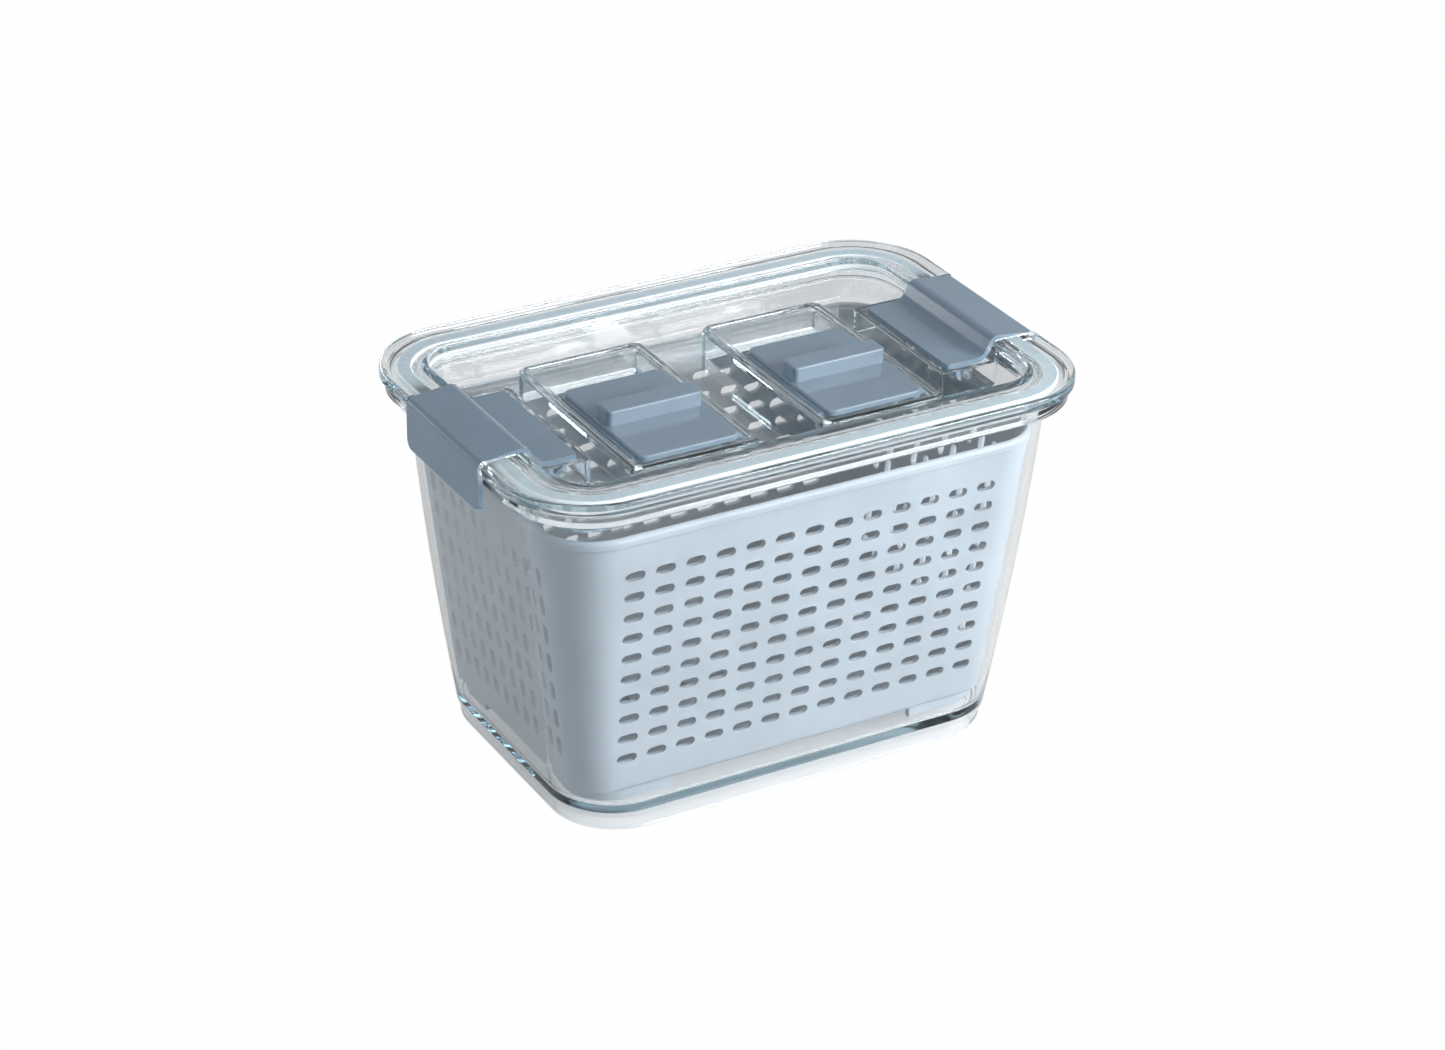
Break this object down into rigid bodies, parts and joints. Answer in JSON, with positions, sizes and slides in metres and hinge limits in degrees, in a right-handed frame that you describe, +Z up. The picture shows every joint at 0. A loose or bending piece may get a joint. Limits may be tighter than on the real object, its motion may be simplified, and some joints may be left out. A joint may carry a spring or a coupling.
{
  "type": "produce keeper",
  "caption": "Clear lidded food box with a lift-out slotted basket, sliding vent covers on the lid and fold-down side latches.",
  "frame": {"origin": "middle of the footprint, on the surface that the box stands on", "axes": "+X along the box from one latch to the other, +Y to the back (the side that the vents open on), +Z up"},
  "size_m": [0.206, 0.1388, 0.1316],
  "materials": {
    "clear_body": "clear, polished",
    "clear_lid": "clear, polished",
    "basket": "satin",
    "seal": "matte, translucent",
    "latch": "semi-gloss",
    "slider": "semi-gloss"
  },
  "bodies": {
    "box": {"container": "clear_body", "basket": "basket", "lid": "clear_lid", "lid_seal": "seal"},
    "latch_left": {"latch_left": "latch"},
    "latch_right": {"latch_right": "latch"},
    "slider_left": {"slider_left": "slider"},
    "slider_right": {"slider_right": "slider"}
  },
  "joints": [
    {"name": "latch_left_hinge", "type": "hinge", "parent": "box", "child": "latch_left", "pos_m": [-0.0752, 0, 0.121], "axis": [0, 1, 0], "range_deg": [0, 70]},
    {"name": "latch_right_hinge", "type": "hinge", "parent": "box", "child": "latch_right", "pos_m": [0.0752, 0, 0.121], "axis": [0, -1, 0], "range_deg": [0, 70]},
    {"name": "slider_left_slide", "type": "slide", "parent": "box", "child": "slider_left", "axis": [0, 1, 0], "range_m": [0, 0.019]},
    {"name": "slider_right_slide", "type": "slide", "parent": "box", "child": "slider_right", "axis": [0, 1, 0], "range_m": [0, 0.019]}
  ]
}
